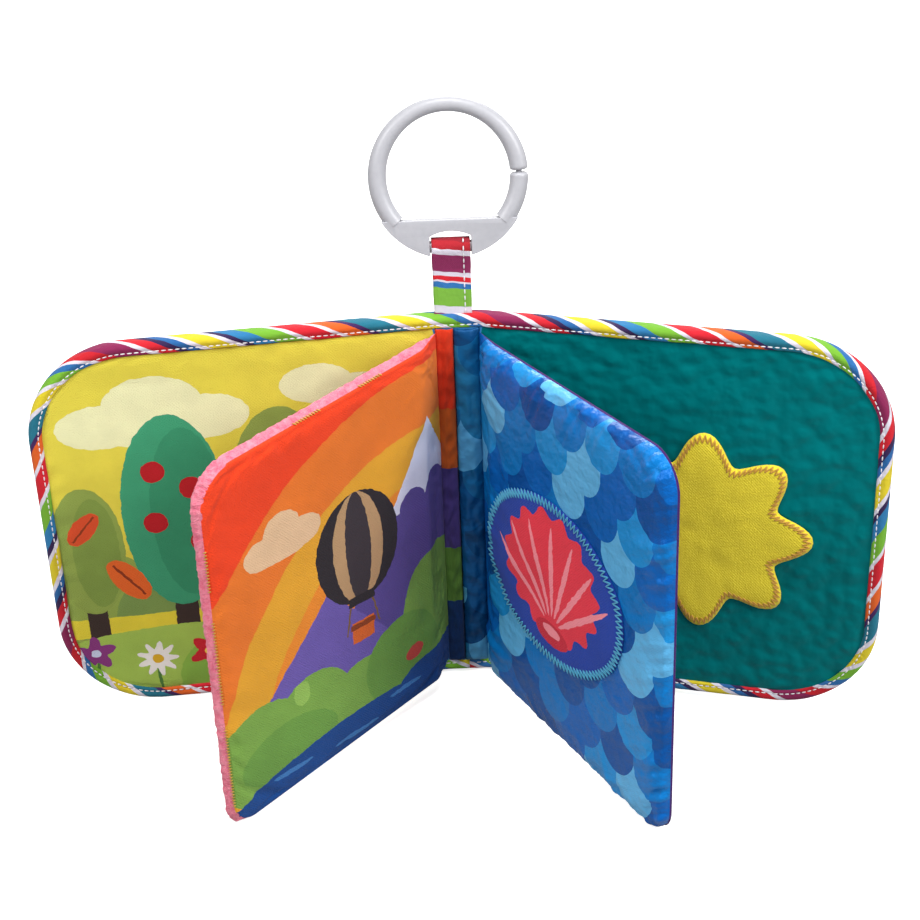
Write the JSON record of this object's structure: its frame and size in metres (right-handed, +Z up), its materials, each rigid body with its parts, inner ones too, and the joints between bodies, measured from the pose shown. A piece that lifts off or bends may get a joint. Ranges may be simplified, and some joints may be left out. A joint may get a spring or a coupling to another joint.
{
  "type": "cloth book",
  "caption": "Padded cloth activity book standing open on its foot, with bound covers, stuffed leaves on sewn hinges and a split hang ring on a tape loop.",
  "frame": {"origin": "middle of the spine's foot, on the surface that the book stands on", "axes": "+X along the covers to the reader's right, +Y away from the reader, +Z up along the spine"},
  "size_m": [0.3208, 0.1276, 0.2398],
  "materials": {
    "spine_cloth": "woven cloth",
    "striped_binding": "woven cloth",
    "printed_cloth": "woven cloth",
    "blue_satin": "satin",
    "striped_tape": "woven cloth",
    "ring_plastic": "moulded gloss",
    "teal_satin": "crinkled satin",
    "yellow_satin": "satin",
    "pink_plush": "plush",
    "purple_cloth": "woven cloth",
    "patch_cloth": "woven cloth"
  },
  "bodies": {
    "spine": {"spine_panel": "spine_cloth", "spine_binding_top": "striped_binding", "spine_binding_foot": "striped_binding", "gutter_print_strip": "printed_cloth", "gutter_satin_strip": "blue_satin", "strap_loop": "striped_tape"},
    "left_cover": {"left_cover_pad": "printed_cloth", "left_cover_binding": "striped_binding"},
    "right_cover": {"right_cover_pad": "teal_satin", "right_cover_binding": "striped_binding", "sun_patch": "yellow_satin"},
    "left_leaf": {"left_leaf_face": "printed_cloth", "left_leaf_back": "pink_plush"},
    "right_leaf": {"right_leaf_face": "blue_satin", "right_leaf_back": "purple_cloth", "oval_patch": "patch_cloth"},
    "ring": {"hang_ring": "ring_plastic"}
  },
  "joints": [
    {"name": "left_cover_hinge", "type": "hinge", "parent": "spine", "child": "left_cover", "pos_m": [-0.0084, -0.00325, 0.08], "axis": [0, 0, 1], "range_deg": [-91.6, 79.4]},
    {"name": "right_cover_hinge", "type": "hinge", "parent": "spine", "child": "right_cover", "pos_m": [0.0084, -0.00325, 0.08], "axis": [0, 0, -1], "range_deg": [-100.7, 70.3]},
    {"name": "left_leaf_hinge", "type": "hinge", "parent": "spine", "child": "left_leaf", "pos_m": [-0.0084, -0.00325, 0.08], "axis": [0, 0, 1], "range_deg": [-48.38, 42]},
    {"name": "right_leaf_hinge", "type": "hinge", "parent": "spine", "child": "right_leaf", "pos_m": [0.0084, -0.00325, 0.08], "axis": [0, 0, -1], "range_deg": [-42.04, 29.5]},
    {"name": "ring_swing", "type": "hinge", "parent": "spine", "child": "ring", "pos_m": [-0.0012, 0, 0.1864], "axis": [1, 0, 0], "range_deg": [-82.4, 107.6]}
  ],
  "couplings": [
    {"joint": "left_leaf_hinge", "follows": "left_cover_hinge", "ratio": 0.5227},
    {"joint": "right_leaf_hinge", "follows": "right_cover_hinge", "ratio": 0.4125}
  ]
}
